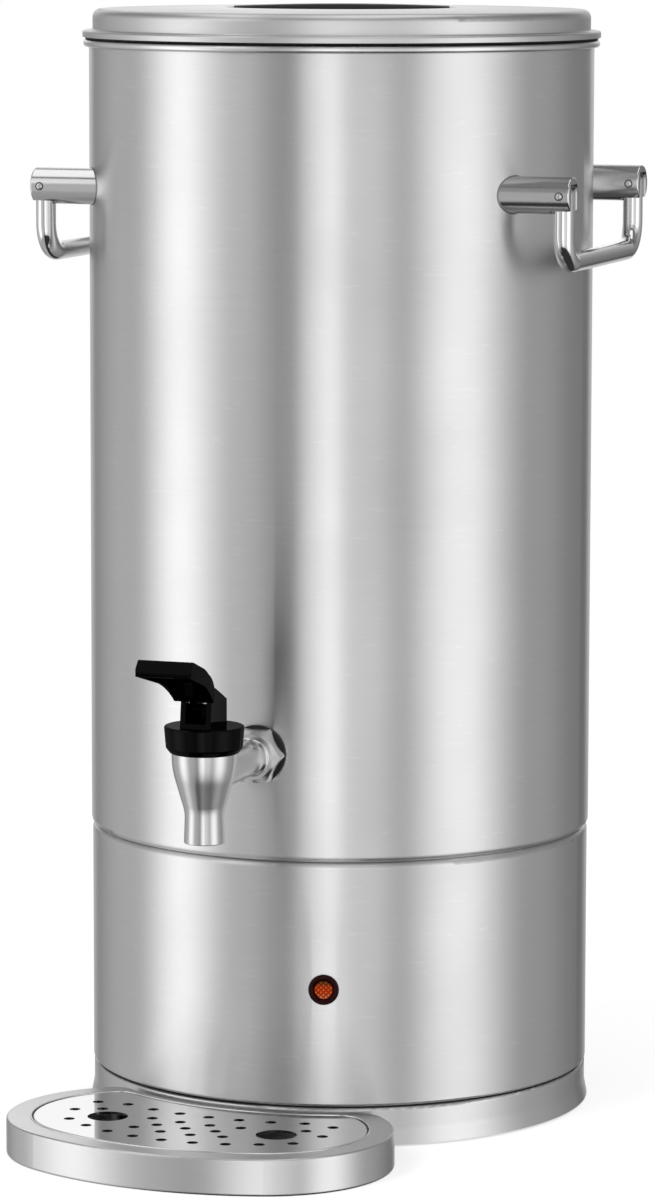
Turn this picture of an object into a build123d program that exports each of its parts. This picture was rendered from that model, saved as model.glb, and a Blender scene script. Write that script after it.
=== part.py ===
"""Twenty litre hot water urn: double-walled steel body, lift-off lid, swinging handles, lever tap, drip tray.

Millimetres. The origin is on the urn's axis at the surface it stands on, +Z is up and the tap faces -Y.
"""

from build123d import *
from math import atan2, cos, degrees, hypot, radians, sin, sqrt
import os

os.makedirs("parts", exist_ok=True)

# ---- driving dimensions: body ----
sheet = 1.0  # steel sheet of the casings, plinth and lid
casing_radius = 140.0  # outside of the upper casing
base_casing_radius = 139.4  # outside of the lower casing
flange_inner = 127.0  # inner edge of every inward flange
screw_circle = 131.4  # casing screws
plinth_screw_circle = 132.5
groove_height = 156.8  # plane where the two casings' curled edges meet
groove_bend = 3.5
rim_height = 595.2  # top of the tank's rolled lip
seam_height = 22.6  # bottom of the lower casing
plinth_top = 21.4
plinth_radius = 139.0
plinth_flare = 1.6  # how far the plinth's foot stands out
plinth_clearance = 1.0  # plinth's edge above the surface
lug_width = 10.0  # plinth's lugs for the base screws
lug_length = 14.0
lug_circle = 134.0
floor_plate = 4.0  # underside of the base plate
plate_sheet = 1.2
plate_radius = 137.0
foot_radius = 122.0  # middle of the rubber ring
foot_width = 12.0
vent_width = 5.0
screw_radius = 2.0
screw_hole = 2.1
screw_head_radius = 3.6
screw_head_height = 2.4
screw_length = 6.0

tank_radius = 129.0  # inside of the tank
tank_wall = 1.0
tank_floor = 168.0  # inside of the tank's floor
tank_floor_edge = 118.0  # radius where the floor starts to rise to the wall
tank_floor_rise = 13.0
sleeve_bottom = 186.0  # insulation between the tank and the casing
sleeve_top = 584.0
lip_radius = 143.0
lip_depth = 4.2
element_radius = 85.0
element_rod = 4.2
element_height = 186.0
element_bend = 12.0
element_gland = 5.0  # threaded sleeve of each leg through the tank's floor
element_nut = 17.0  # across flats
element_nut_depth = 7.0
terminal_radius = 1.6
leg_angle = 15.0  # each leg of the element from the rear mid-plane
leg_radius = hypot(element_radius, element_bend)
thermostat_place = (-45.0, 0.0)
thermostat_radius = 12.0
thermostat_collar = 19.0
blade = (8.0, 6.3, 0.8)  # flat plug terminal
cutout_place = (45.0, 20.0)
cutout_radius = 8.5
cutout_collar = 14.0
block_reach = 84.0  # terminal block behind the axis
block_size = (46.0, 20.0, 16.0)
block_tower = (10.0, 16.0, 5.0)
block_pitch = 14.0
block_count = 3

# ---- driving dimensions: lid ----
lid_radius = 138.0
lid_flange_radius = 143.6
lid_flange_bottom = 596.4
lid_flange_top = 600.0
lid_shoulder = 611.6
lid_crown = 612.8
recess_radius = 64.0
recess_floor = 591.0
grip_length = 119.0
grip_width = 21.0
grip_top = 614.6
grip_clearance = 16.0  # finger room under the grip
grip_screw_circle = 48.5
grip_screw_radius = 1.9
grip_screw_hole = 2.2
lid_turn = 18.5  # the loose lid stands turned this far round the rim

# ---- driving dimensions: handles ----
handle_height = 514.8
post_radius = 10.0
post_reach = 154.5  # end face of a post from the urn's mid-plane
post_spacing = 139.8
pin_reach = 148.8
pin_radius = 2.0
bail_drop = 36.7  # crossbar's centre below the pins
bail_radius = 5.5
bail_bend = 16.0
slot_width = 11.8
slot_back = 142.7  # inner end of a post's slot, from the urn's mid-plane

# ---- driving dimensions: tap ----
tap_reach = 223.9  # stem's axis from the urn's axis
shank_height = 215.5
shank_radius = 9.3
shank_bore = 6.2
shank_end = 112.0  # inner end of the thread, from the urn's axis
collar_size = 28.0  # hexagonal collar outside the casing, across flats
collar_back = 142.2  # from the urn's axis
collar_depth = 10.0
collar_face = 12.4  # radius of the flat in front of the collar's chamfer
collar_chamfer = 2.4
wall_seal_radius = 16.7
inner_seal_radius = 14.0
lock_nut_size = 27.0  # across flats
body_radius = 17.2
body_shoulder = 229.0
body_top = 238.4
spout_radius = 10.5
spout_tip = 181.2
spout_bore = 6.5
thread_radius = 15.5
seat_height = 203.0
seat_radius = 9.2
cup_height = 8.0
stem_foot = 4.0  # how far the stem stands above the seat, inside the cup
collar_disc = (8.0, 1.5)  # stem's disc above the cup: radius and thickness
spring_radius = 6.2
spring_turns = 5
spring_wire = 0.6  # half the wire's thickness
gasket_thickness = 1.6
chamber_radius = 12.2
bonnet_radius = 21.15
bonnet_top = 243.5
neck_half_width = 8.5
neck_half_depth = 12.5
neck_top = 264.4
neck_floor = 246.0
neck_slot = 5.7  # half the width of the fork's slot
pivot_reach = 232.6
pivot_height = 257.0
pivot_radius = 1.5
lever_tip = 287.7
lever_half_width = 15.5
lever_rear_half_width = 10.6
heel = (236.8, 264.6)  # top of the lever's rear face, by reach and height
nose_top = (281.7, 285.5)
nose_bottom = 277.8
underside_bend = (258.6, 269.9)  # where the lower edge starts to arch down to the heel
heel_bottom = (239.4, 258.0)
hub_half_width = 2.2
neck_lean = 3.0  # how far the neck's front runs out towards its foot
lever_wall = 1.8
fork_top = 255.6
stem_radius = 2.5
button_radius = 4.6  # head of the stem, lifted by the fork

# ---- driving dimensions: lamp, inlet, switch ----
lamp_angle = 15.0  # from the tap, towards +X
lamp_height = 87.3
lamp_radius = 8.25
lamp_bore = 6.2
lamp_nut_size = 17.0  # across flats
lens_radius = 4.8
gland_height = 48.0
gland_bore = 4.2
gland_thread = 8.0
gland_hexagon = 22.0  # across flats
switch_height = 92.0
switch_body = (12.2, 26.8)  # width and height behind the casing
rocker_tilt = 8.0
rocker_width = 9.0
rocker_length = 19.8
rocker_depth = 6.0
rocker_pivot = 137.4  # from the urn's axis

# ---- driving dimensions: drip tray ----
tray_turn = 6.2  # the loose tray stands turned this far round the plinth
tray_height = 20.0
tray_sheet = 1.2
tray_edge = 1.3  # rounding of the rim's outer edge
tray_hug = 142.5  # radius of the hollow side that meets the plinth
front_arc = 167.0
front_arc_centre = 90.0
side_arc = 68.5
side_arc_centre = (40.0, 180.0)
grid_depth = 2.6
grid_gap = 0.7
grid_sheet = 1.2
grid_inset = 14.5  # grid's edge in from the tray's
grid_hug = 149.5
grid_corner = 13.0
shelf_width = 3.5
drain_radius = 3.0
finger_hole = (50.4, 189.7, 11.0)  # across, reach, radius


def save(piece, name):
    piece.part.label = name
    export_step(piece.part, f"parts/{name}.step")


def sheet_profile(points, bends, thickness, side):
    """Section of a bent sheet in the r-z plane, from the line that one of its faces follows."""
    with BuildSketch() as profile:
        with BuildLine():
            FilletPolyline(*points, radius=bends)
            offset(amount=thickness, side=side)
        make_face()
    return Plane.XZ * profile.sketch


def ring_profile(inner, outer, bottom, top):
    """Rectangular section of a ring in the r-z plane."""
    with BuildSketch() as profile:
        with Locations(((inner + outer) / 2, (bottom + top) / 2)):
            Rectangle(outer - inner, top - bottom)
    return Plane.XZ * profile.sketch


def bolt_circle(radius, count, start=45.0):
    return PolarLocations(radius, count, start_angle=start)


def element_legs():
    return PolarLocations(leg_radius, 2, start_angle=90 - leg_angle, angular_range=4 * leg_angle)


def hexagon_ring(across_flats, bore):
    """Outline of a nut or a hexagonal collar."""
    with BuildSketch() as outline:
        RegularPolygon(across_flats / sqrt(3), 6)
        Circle(bore, mode=Mode.SUBTRACT)
    return outline.sketch


def pan_screw(radius, head_radius, head_height, length):
    """Pan-head screw along +Z, its head below the origin plane."""
    with BuildPart() as screw:
        Cylinder(radius, length, align=(Align.CENTER, Align.CENTER, Align.MIN))
        Cylinder(head_radius, head_height, align=(Align.CENTER, Align.CENTER, Align.MAX))
        fillet(screw.edges().filter_by(GeomType.CIRCLE).sort_by(Axis.Z)[0], head_height * 0.45)
    return screw.part


front = Plane.XZ  # looks at the tap: x is X, y is Z, outwards is -Y
side = Plane(origin=(0, 0, 0), x_dir=(0, -1, 0), z_dir=(-1, 0, 0))  # x is reach in front of the axis, y is Z

# ================= body =================

with BuildPart() as outer_casing:
    revolve(
        sheet_profile(
            [
                (flange_inner, groove_height),
                (casing_radius, groove_height),
                (casing_radius, rim_height - 1.2),
            ],
            groove_bend,
            sheet,
            Side.LEFT,
        )
    )
    with BuildSketch(front):
        with Locations((0, shank_height)):
            Circle(shank_radius)
    extrude(amount=casing_radius + 5, mode=Mode.SUBTRACT)
    with Locations((0, 0, groove_height)):
        with bolt_circle(screw_circle, 4):
            Cylinder(screw_hole, screw_length, mode=Mode.SUBTRACT)
save(outer_casing, "outer_casing")

lamp_out = front.rotated((0, 0, lamp_angle))
rear = front.rotated((0, 0, 180))

with BuildPart() as base_casing:
    revolve(
        sheet_profile(
            [
                (flange_inner, groove_height),
                (base_casing_radius, groove_height),
                (base_casing_radius, seam_height),
                (flange_inner, seam_height),
            ],
            [groove_bend, 1.4],
            sheet,
            Side.RIGHT,
        )
    )
    with BuildSketch(lamp_out):
        with Locations((0, lamp_height)):
            Circle(lamp_bore + 0.2)
    extrude(amount=casing_radius + 5, mode=Mode.SUBTRACT)
    with BuildSketch(rear):
        with Locations((0, gland_height)):
            Circle(gland_thread + 0.1)
        with Locations((0, switch_height)):
            Rectangle(switch_body[0] + 0.4, switch_body[1] + 0.4)
    extrude(amount=casing_radius + 5, mode=Mode.SUBTRACT)
    with Locations((0, 0, groove_height)):
        with bolt_circle(screw_circle, 4):
            Cylinder(screw_hole, screw_length, mode=Mode.SUBTRACT)
save(base_casing, "base_casing")

with BuildPart() as casing_screws:
    with Locations((0, 0, groove_height - sheet)):
        with bolt_circle(screw_circle, 4):
            add(pan_screw(screw_radius, screw_head_radius, screw_head_height, screw_length))
save(casing_screws, "casing_screws")

with BuildPart() as inner_tank:
    lip_inside = lip_radius - tank_wall
    revolve(
        sheet_profile(
            [
                (0, tank_floor - tank_wall),
                (tank_floor_edge, tank_floor - tank_wall),
                (tank_radius + tank_wall, tank_floor + tank_floor_rise),
                (tank_radius + tank_wall, rim_height - tank_wall),
                (lip_inside, rim_height - tank_wall),
                (lip_inside, rim_height - lip_depth + tank_wall),
                (casing_radius + 0.2, rim_height - lip_depth + tank_wall),
            ],
            [8, 8, 1.4, 1.0, 0.8],
            tank_wall,
            Side.LEFT,
        )
    )
    with BuildSketch(front):
        with Locations((0, shank_height)):
            Circle(shank_radius)
    extrude(amount=casing_radius, mode=Mode.SUBTRACT)
    with Locations((0, 0, tank_floor)):
        with element_legs():
            Cylinder(element_gland + 0.1, 10, mode=Mode.SUBTRACT)
save(inner_tank, "inner_tank")

with BuildPart() as insulation_sleeve:
    sleeve_inside = tank_radius + tank_wall + 0.6
    revolve(ring_profile(sleeve_inside, casing_radius - sheet - 0.4, sleeve_bottom, sleeve_top))
    with BuildSketch(front):
        with Locations((0, shank_height)):
            Circle(shank_radius + 5)
    extrude(amount=casing_radius, mode=Mode.SUBTRACT)
save(insulation_sleeve, "insulation_sleeve")

with BuildPart() as plinth_ring:
    revolve(
        sheet_profile(
            [
                (flange_inner, plinth_top),
                (plinth_radius, plinth_top),
                (plinth_radius, 9.0),
                (plinth_radius + plinth_flare, plinth_clearance),
            ],
            [1.4, 14],
            sheet,
            Side.RIGHT,
        )
    )
    lug_bottom = floor_plate + plate_sheet
    with BuildSketch(Plane.XY.offset(lug_bottom)):
        with bolt_circle(lug_circle, 4):
            Rectangle(lug_width, lug_length)
    extrude(amount=plate_sheet)
    with Locations((0, 0, lug_bottom)):
        with bolt_circle(plinth_screw_circle, 4):
            Cylinder(screw_hole, screw_length, mode=Mode.SUBTRACT)
save(plinth_ring, "plinth_ring")

with BuildPart() as plinth_seal:
    revolve(ring_profile(flange_inner + 0.4, plinth_radius - 2.0, plinth_top, seam_height))
save(plinth_seal, "plinth_seal")

with BuildPart() as base_plate:
    with BuildSketch(Plane.XY.offset(floor_plate)):
        Circle(plate_radius)
        for vent_circle, vent_length, vent_count in ((82, 34, 12), (50, 20, 8)):
            with PolarLocations(vent_circle, vent_count):
                SlotOverall(vent_length, vent_width, mode=Mode.SUBTRACT)
        with bolt_circle(plinth_screw_circle, 4):
            Circle(screw_hole, mode=Mode.SUBTRACT)
    extrude(amount=plate_sheet)
save(base_plate, "base_plate")

with BuildPart() as base_screws:
    with Locations((0, 0, floor_plate)):
        with bolt_circle(plinth_screw_circle, 4):
            add(pan_screw(screw_radius, screw_head_radius, screw_head_height, screw_length))
save(base_screws, "base_screws")

with BuildPart() as foot_ring:
    revolve(ring_profile(foot_radius - foot_width / 2, foot_radius + foot_width / 2, 0, floor_plate))
    fillet(foot_ring.edges().group_by(Axis.Z)[0], 1.0)
save(foot_ring, "foot_ring")

# ================= heating =================

with BuildPart() as heating_element:
    bend_angle = degrees(atan2(element_bend, element_radius))
    ring_start = 90 + leg_angle + bend_angle
    ring_arc = 360 - 2 * (leg_angle + bend_angle)
    with BuildLine() as element_path:
        ring = CenterArc((0, 0, element_height), element_radius, ring_start, ring_arc)
        for end, direction in ((ring @ 0, -(ring % 0)), (ring @ 1, ring % 1)):
            drop = element_bend * (1 - cos(radians(45)))
            middle = end + direction * element_bend * sin(radians(45)) - Vector(0, 0, drop)
            elbow = end + direction * element_bend - Vector(0, 0, element_bend)
            ThreePointArc(end, middle, elbow)
            Line(elbow, (elbow.X, elbow.Y, tank_floor + 2))
    wire = element_path.wire()
    with BuildSketch(Plane(origin=wire @ 0, z_dir=wire % 0)):
        Circle(element_rod)
    sweep(path=wire)
    with Locations((0, 0, tank_floor)):
        with element_legs():
            Cylinder(element_gland + 3, 3.2, align=(Align.CENTER, Align.CENTER, Align.MIN))
    with Locations((0, 0, tank_floor - 18)):
        with element_legs():
            Cylinder(element_gland, 18.5, align=(Align.CENTER, Align.CENTER, Align.MIN))
    with Locations((0, 0, tank_floor - 24)):
        with element_legs():
            Cylinder(terminal_radius, 7, align=(Align.CENTER, Align.CENTER, Align.MIN))
save(heating_element, "heating_element")

with BuildPart() as element_nuts:
    with BuildSketch(Plane.XY.offset(tank_floor - tank_wall - element_nut_depth)):
        with element_legs():
            add(hexagon_ring(element_nut, element_gland + 0.1))
    extrude(amount=element_nut_depth)
save(element_nuts, "element_nuts")

underside = (Align.CENTER, Align.CENTER, Align.MAX)

with BuildPart() as boil_thermostat:
    with Locations((*thermostat_place, tank_floor - tank_wall)):
        Cylinder(thermostat_collar, 3, align=underside)
        Cylinder(thermostat_radius, 11, align=underside)
        with Locations((-16, 0, -3)):
            Box(*blade, align=(Align.MIN, Align.CENTER, Align.MAX))
        with Locations((16, 0, -3)):
            Box(*blade, align=(Align.MAX, Align.CENTER, Align.MAX))
save(boil_thermostat, "boil_thermostat")

with BuildPart() as thermal_cutout:
    with Locations((*cutout_place, tank_floor - tank_wall)):
        Cylinder(cutout_collar, 2.4, align=underside)
        Cylinder(cutout_radius, 10, align=underside)
save(thermal_cutout, "thermal_cutout")

with BuildPart() as terminal_block:
    block_floor = floor_plate + plate_sheet
    block_top = block_floor + block_size[2]
    with Locations((0, block_reach, block_floor)):
        Box(*block_size, align=(Align.CENTER, Align.CENTER, Align.MIN))
    with Locations((0, block_reach, block_top)):
        with GridLocations(block_pitch, 0, block_count, 1):
            Box(*block_tower, align=(Align.CENTER, Align.CENTER, Align.MIN))
    with Locations((0, block_reach, block_top + block_tower[2])):
        with GridLocations(block_pitch, 0, block_count, 1):
            CounterBoreHole(terminal_radius, 2.6, 3, 12)
save(terminal_block, "terminal_block")

# ================= lid =================

with BuildPart() as lid_shell:
    revolve(
        sheet_profile(
            [
                (lid_flange_radius, lid_flange_bottom),
                (lid_flange_radius, lid_flange_top),
                (lid_radius, lid_flange_top),
                (lid_radius, lid_shoulder),
                (recess_radius, lid_crown),
                (recess_radius - 6, recess_floor),
                (0, recess_floor),
            ],
            [1.2, 1.0, 4.5, 2.5, 4],
            sheet,
            Side.LEFT,
        )
    )
    grip_plane = Plane.XY.rotated((0, 0, lid_turn)).offset(recess_floor)
    with BuildSketch(grip_plane):
        with GridLocations(2 * grip_screw_circle, 0, 2, 1):
            Circle(grip_screw_hole)
    extrude(amount=6, both=True, mode=Mode.SUBTRACT)
save(lid_shell, "lid_shell")

with BuildPart() as lid_skirt:
    revolve(
        sheet_profile(
            [
                (tank_radius - 1.6, rim_height - 11),
                (tank_radius - 1.6, lid_flange_top - 0.2),
                (lid_radius - sheet, lid_flange_top - 0.2),
            ],
            [1.6],
            0.8,
            Side.RIGHT,
        )
    )
save(lid_skirt, "lid_skirt")

with BuildPart() as lid_seal:
    seal_top = lid_flange_top - sheet
    revolve(ring_profile(tank_radius + 0.4, lid_flange_radius - 1.4, rim_height + 0.3, seal_top))
save(lid_seal, "lid_seal")

grip_side = Plane.XZ.rotated((0, 0, lid_turn))
with BuildPart() as lid_grip:
    half_length = grip_length / 2
    foot_outer = half_length - 6
    foot_inner = foot_outer - 10
    grip_end = lid_crown + 0.6
    with BuildSketch(grip_side):
        with BuildLine():
            crown = ThreePointArc((-half_length, grip_end), (0, grip_top), (half_length, grip_end))
            outer = FilletPolyline(
                crown @ 1,
                (half_length, grip_end - 6.4),
                (foot_outer, recess_floor),
                (foot_inner, recess_floor),
                (foot_inner - 4, recess_floor + grip_clearance),
                (0, recess_floor + grip_clearance + 0.6),
                radius=[3, 1, 1, 6],
            )
            mirror(about=Plane.YZ)
        make_face()
    extrude(amount=grip_width / 2, both=True)
    fillet(lid_grip.edges().filter_by(GeomType.CIRCLE).group_by(Axis.Z)[-1], 1.6)
    with BuildSketch(Plane.XY.rotated((0, 0, lid_turn)).offset(recess_floor)):
        with GridLocations(2 * grip_screw_circle, 0, 2, 1):
            Circle(grip_screw_radius)
    extrude(amount=10, mode=Mode.SUBTRACT)
save(lid_grip, "lid_grip")

with BuildPart() as grip_screws:
    with Locations((0, 0, recess_floor - sheet)):
        with PolarLocations(grip_screw_circle, 2, start_angle=lid_turn):
            add(pan_screw(grip_screw_radius, screw_head_radius, 2.2, 10.5))
save(grip_screws, "grip_screws")

# ================= handles =================


slot_radius = pin_reach - slot_back
slot_open = {1: Align.MIN, -1: Align.MAX}  # side on which a post's slot runs out


def handle_post(across, along):
    """One stub of the casing, bored for a pin and slotted for the bail's eye."""
    middle = along * post_spacing / 2
    post_end = Plane.YZ.offset(across * post_reach)
    post_side = Plane.XZ.offset(-middle)
    with BuildPart() as post:
        with BuildSketch(post_end):
            with Locations((middle, handle_height)):
                Circle(post_radius)
        extrude(amount=-across * 45)
        fillet(post.edges().filter_by(GeomType.CIRCLE).group_by(Axis.X)[-1 if across > 0 else 0], 1.0)
        with Locations((0, 0, handle_height)):
            Cylinder(casing_radius, 3 * post_radius, mode=Mode.SUBTRACT)
        with BuildSketch(post_side):
            with Locations((across * pin_reach, handle_height)):
                Circle(slot_radius)
                Rectangle(2 * slot_radius, 2 * post_radius, align=(Align.CENTER, Align.MAX))
                Rectangle(slot_radius + 4, slot_radius, align=(slot_open[across], Align.MIN))
                Rectangle(slot_radius + 4, 2 * post_radius, align=(slot_open[across], Align.MAX))
        extrude(amount=slot_width / 2, both=True, mode=Mode.SUBTRACT)
        with BuildSketch(post_side):
            with Locations((across * pin_reach, handle_height)):
                Circle(pin_radius)
        extrude(amount=post_radius + 1, both=True, mode=Mode.SUBTRACT)
    return post


post_names = {
    "right_front_post": (1, -1),
    "right_rear_post": (1, 1),
    "left_front_post": (-1, -1),
    "left_rear_post": (-1, 1),
}
for post_name, (across, along) in post_names.items():
    save(handle_post(across, along), post_name)

for side_name, across in (("right", 1), ("left", -1)):
    with BuildPart() as bail_pins:
        with Locations((across * pin_reach, 0, handle_height)):
            with GridLocations(0, post_spacing, 1, 2):
                Cylinder(pin_radius, 2 * post_radius + 0.4, rotation=(90, 0, 0))
    save(bail_pins, f"{side_name}_bail_pins")

    with BuildPart() as bail:
        half_span = post_spacing / 2
        bail_plane = Plane.YZ.offset(across * pin_reach)
        with BuildLine(bail_plane) as bail_path:
            FilletPolyline(
                (-half_span, handle_height),
                (-half_span, handle_height - bail_drop),
                (half_span, handle_height - bail_drop),
                (half_span, handle_height),
                radius=bail_bend,
            )
        with BuildSketch(Plane(origin=bail_path.wire() @ 0, x_dir=(1, 0, 0), z_dir=(0, 0, -1))):
            Circle(bail_radius)
        sweep(path=bail_path.wire())
        with Locations((across * pin_reach, 0, handle_height)):
            with GridLocations(0, post_spacing, 1, 2):
                Sphere(bail_radius)
                Cylinder(pin_radius + 0.07, 2 * bail_radius + 2, rotation=(90, 0, 0), mode=Mode.SUBTRACT)
    save(bail, f"{side_name}_bail")

# ================= tap =================

tap_front = front.offset(tap_reach)
stem_axis = Axis((0, -tap_reach, 0), (0, 0, 1))
shank_axis = Axis((0, 0, shank_height), (0, -1, 0))

with BuildPart() as wall_collar:
    with BuildSketch(front.offset(collar_back)):
        with Locations((0, shank_height)):
            RegularPolygon(collar_size / sqrt(3), 6)
    extrude(amount=collar_depth)
    with BuildSketch(side):
        with BuildLine():
            collar_corner = shank_height + collar_size / sqrt(3)
            collar_front = collar_back + collar_depth
            Polyline(
                (collar_back, shank_height),
                (collar_back, collar_corner),
                (collar_front - collar_chamfer, collar_corner),
                (collar_front, shank_height + collar_face),
                (collar_front, shank_height),
                close=True,
            )
        make_face()
    revolve(axis=shank_axis, mode=Mode.INTERSECT)

with BuildPart() as tap_body:
    with BuildSketch(tap_front):
        with BuildLine():
            funnel = FilletPolyline(
                (body_radius, body_shoulder),
                (body_radius, body_shoulder - 8),
                (spout_radius - 0.25, seat_height - 5.5),
                (spout_radius + 0.25, spout_tip),
                radius=[48, 20],
            )
            Polyline(funnel @ 1, (0, spout_tip), (0, body_top), (thread_radius, body_top))
            Polyline((thread_radius, body_top), (thread_radius, body_shoulder), funnel @ 0)
        make_face()
    revolve(axis=stem_axis)
    with BuildSketch(side):
        with BuildLine():
            shank_top = shank_height + shank_radius
            thread_top = shank_top - 0.3
            neck_start = (collar_front, shank_top + 1.6)
            Polyline((shank_end, shank_height), (shank_end, thread_top), (collar_back + 1, thread_top))
            Polyline((collar_back + 1, thread_top), (collar_back + 1, shank_top + 1.6), neck_start)
            RadiusArc(neck_start, (collar_front + 1.6, shank_top), -1.6)
            Polyline(
                (collar_front + 1.6, shank_top),
                (tap_reach, shank_top),
                (tap_reach, shank_height),
                (shank_end, shank_height),
            )
        make_face()
    revolve(axis=shank_axis)
    add(wall_collar.part)
    with BuildSketch(tap_front):
        with BuildLine():
            Polyline(
                (0, spout_tip),
                (spout_bore, spout_tip),
                (spout_bore, seat_height),
                (seat_radius, seat_height),
                (chamber_radius, seat_height + 11),
                (chamber_radius, body_top),
                (0, body_top),
                close=True,
            )
        make_face()
    revolve(axis=stem_axis, mode=Mode.SUBTRACT)
    with BuildSketch(front.offset(shank_end)):
        with Locations((0, shank_height)):
            Circle(shank_bore)
    extrude(amount=tap_reach - shank_end, mode=Mode.SUBTRACT)
    tip_edges = tap_body.edges().filter_by(GeomType.CIRCLE).group_by(Axis.Z)[0]
    fillet(tip_edges, 0.6)
save(tap_body, "tap_body")

with BuildPart() as tap_flange_seal:
    with BuildSketch(front.offset(casing_radius - 2)):
        with Locations((0, shank_height)):
            Circle(wall_seal_radius)
            Circle(shank_radius + 0.1, mode=Mode.SUBTRACT)
    extrude(amount=collar_back - casing_radius + 2)
    with Locations((0, 0, shank_height)):
        Cylinder(casing_radius, 3 * wall_seal_radius, mode=Mode.SUBTRACT)
save(tap_flange_seal, "tap_flange_seal")

with BuildPart() as tap_inner_seal:
    with BuildSketch(front.offset(tank_radius - 4)):
        with Locations((0, shank_height)):
            Circle(inner_seal_radius)
            Circle(shank_radius - 0.2, mode=Mode.SUBTRACT)
    extrude(amount=5)
    with Locations((0, 0, shank_height)):
        Cylinder(tank_radius, 3 * inner_seal_radius, mode=Mode.INTERSECT)
save(tap_inner_seal, "tap_inner_seal")

with BuildPart() as tap_lock_nut:
    with BuildSketch(front.offset(tank_radius - 10)):
        with Locations((0, shank_height)):
            add(hexagon_ring(lock_nut_size, shank_radius - 0.3))
    extrude(amount=6)
save(tap_lock_nut, "tap_lock_nut")

with BuildPart() as tap_bonnet:
    skirt_bottom = body_shoulder + 0.2
    cap_floor = body_top + gasket_thickness
    with BuildSketch(tap_front):
        with BuildLine():
            outer = FilletPolyline(
                (stem_radius + 0.1, bonnet_top),
                (bonnet_radius, bonnet_top),
                (bonnet_radius - 0.95, body_shoulder + 3),
                (bonnet_radius - 3.2, skirt_bottom),
                (thread_radius + 0.1, skirt_bottom),
                radius=[1.0, 2.4, 1.0],
            )
            Polyline(
                outer @ 1,
                (thread_radius + 0.1, cap_floor),
                (stem_radius + 0.1, cap_floor),
                outer @ 0,
            )
        make_face()
    revolve(axis=stem_axis)
    neck_back = tap_reach - neck_half_depth
    neck_front = tap_reach + neck_half_depth + 0.3
    with BuildSketch(side):
        Polygon(
            (neck_back, cap_floor + 1),
            (neck_front + neck_lean / 2, cap_floor + 1),
            (neck_front - neck_lean / 2, neck_top),
            (neck_back + 18.5, neck_top),
            (neck_back, neck_top - 8.4),
            align=None,
        )
    extrude(amount=neck_half_width, both=True)
    outside = tap_bonnet.edges().filter_by(Axis.Z).filter_by(lambda edge: edge.center().Z > bonnet_top)
    fillet(outside, 1.5)
    with BuildSketch(side):
        with Locations((neck_back + 3.1, neck_floor)):
            Rectangle(40, 40, align=(Align.MIN, Align.MIN))
    extrude(amount=neck_slot, both=True, mode=Mode.SUBTRACT)
    with Locations((0, -tap_reach, cap_floor)):
        Cylinder(stem_radius + 0.1, 20, mode=Mode.SUBTRACT)
    with BuildSketch(side.offset(neck_half_width + 1)):
        with Locations((pivot_reach, pivot_height)):
            Circle(pivot_radius)
    extrude(amount=-(2 * neck_half_width - 0.5), mode=Mode.SUBTRACT)
save(tap_bonnet, "tap_bonnet")

with BuildPart() as bonnet_gasket:
    with BuildSketch(Plane.XY.offset(body_top)):
        with Locations((0, -tap_reach)):
            Circle(thread_radius - 0.1)
            Circle(stem_radius + 0.2, mode=Mode.SUBTRACT)
    extrude(amount=gasket_thickness)
save(bonnet_gasket, "bonnet_gasket")


def lever_side():
    """Lever's outline from the side: an arched back, a leaning nose and a lower edge that arches to the heel."""
    with BuildSketch() as outline:
        with BuildLine():
            back = ThreePointArc((heel[0], heel[1]), (241.6, 270.2), (249, 274.3))
            arch = ThreePointArc(back @ 1, (255.2, 277.5), (262, 279.8))
            nose = FilletPolyline(
                arch @ 1,
                nose_top,
                (lever_tip, nose_bottom),
                underside_bend,
                radius=[1.6, 1.4],
            )
            under = ThreePointArc(nose @ 1, (248.2, 264.8), heel_bottom)
            Line(under @ 1, back @ 0)
        make_face()
    return outline.sketch


def lever_plan(inset):
    """Lever's outline from above, widening towards the tip."""
    half_rear = lever_rear_half_width - inset
    half_tip = lever_half_width - inset
    rear_end = heel[0] - 1 + inset
    tip_end = lever_tip - inset
    with BuildSketch() as outline:
        with BuildLine():
            Polyline(
                (-half_rear, -rear_end),
                (half_rear, -rear_end),
                (half_tip, -tip_end),
                (-half_tip, -tip_end),
                close=True,
            )
        make_face()
        fillet(outline.vertices().sort_by(Axis.Y)[:2], 3.0 - inset * 0.8)
    return outline.sketch


with BuildPart() as lever_hollow:
    with BuildSketch(side) as hollow_side:
        add(lever_side())
        offset(amount=-lever_wall, kind=Kind.INTERSECTION)
    below = hollow_side.sketch.moved(Location((0, -1.6, -3.8)))
    extrude(amount=lever_half_width, both=True)
    extrude(below, amount=lever_half_width, both=True)
    with BuildSketch(Plane.XY.offset(neck_floor)):
        add(lever_plan(lever_wall))
    extrude(amount=50, mode=Mode.INTERSECT)

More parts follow.
